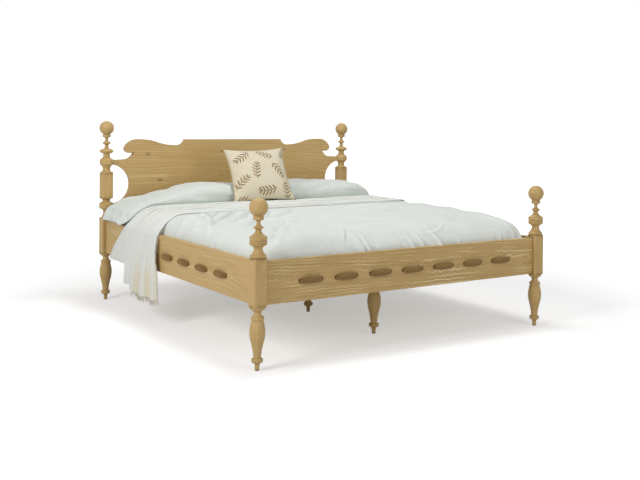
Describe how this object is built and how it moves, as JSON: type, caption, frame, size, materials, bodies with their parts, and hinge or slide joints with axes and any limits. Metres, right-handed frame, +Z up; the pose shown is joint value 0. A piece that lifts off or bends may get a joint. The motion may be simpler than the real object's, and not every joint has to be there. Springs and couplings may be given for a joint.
{
  "type": "bed",
  "caption": "Double-width wooden bed with turned posts, ball finials, a scrolled headboard, flat rails with rope lengths, and its mattress and bedding.",
  "frame": {"origin": "on the floor at the centre of the middle leg's foot, which is the centre of the four posts", "axes": "+Z up, +Y towards the headboard along the bed's length, +X to the right seen from the foot end"},
  "size_m": [1.9678, 2.1918, 1.1738],
  "materials": {
    "oak": "clear matt lacquer",
    "pine": "planed, unfinished",
    "steel": "zinc plated",
    "rope": "twisted jute",
    "glide": "matt",
    "ticking": "woven ticking",
    "duvet_cover": "washed cotton",
    "throw_cloth": "light woven cotton with a fringe",
    "pillow_case": "washed cotton",
    "cushion_print": "printed cotton, leaf sprigs"
  },
  "bodies": {
    "frame": {"head_post_left": "oak", "head_post_right": "oak", "foot_post_left": "oak", "foot_post_right": "oak", "head_finial_left": "oak", "head_finial_right": "oak", "foot_finial_left": "oak", "foot_finial_right": "oak", "headboard_panel": "oak", "foot_rail": "oak", "side_rail_left": "oak", "side_rail_right": "oak", "head_rail": "oak", "centre_leg_foot": "oak", "centre_leg_middle": "oak", "centre_leg_head": "oak", "slat_cleat_left": "pine", "slat_cleat_right": "pine", "centre_beam": "pine", "slat_01": "pine", "slat_02": "pine", "slat_03": "pine", "slat_04": "pine", "slat_05": "pine", "slat_06": "pine", "slat_07": "pine", "slat_08": "pine", "slat_09": "pine", "slat_10": "pine", "slat_11": "pine", "slat_12": "pine", "slat_13": "pine", "slat_14": "pine", "finial_dowels": "steel", "rail_hook_plates": "steel", "rail_hook_pins": "steel", "post_slot_plates": "steel", "slot_plate_screws": "steel", "cleat_screws": "steel", "beam_hanger_head": "steel", "beam_hanger_foot": "steel", "hanger_screws": "steel", "centre_leg_bolts": "steel", "slat_screws": "steel", "foot_rail_ropes": "rope", "side_rail_ropes_left": "rope", "side_rail_ropes_right": "rope", "floor_glides": "glide"},
    "mattress": {"mattress": "ticking"},
    "duvet": {"duvet": "duvet_cover"},
    "throw": {"throw": "throw_cloth"},
    "cushion": {"cushion": "cushion_print"},
    "pillow_left": {"pillow_left": "pillow_case"},
    "pillow_right": {"pillow_right": "pillow_case"}
  },
  "joints": [
    {"name": "mattress_lift", "type": "slide", "parent": "frame", "child": "mattress", "axis": [0, 0, 1], "range_m": [0, 1.05]},
    {"name": "duvet_lift", "type": "slide", "parent": "mattress", "child": "duvet", "axis": [0, 0, 1], "range_m": [0, 0.8]},
    {"name": "throw_lift", "type": "slide", "parent": "duvet", "child": "throw", "axis": [-0.4226, 0, 0.9063], "range_m": [0, 1.05]},
    {"name": "cushion_lift", "type": "slide", "parent": "throw", "child": "cushion", "axis": [0, 0, 1], "range_m": [0, 0.55]},
    {"name": "pillow_left_slide", "type": "slide", "parent": "duvet", "child": "pillow_left", "axis": [-1, 0, 0], "range_m": [0, 1]},
    {"name": "pillow_right_slide", "type": "slide", "parent": "duvet", "child": "pillow_right", "axis": [1, 0, 0], "range_m": [0, 1]}
  ]
}
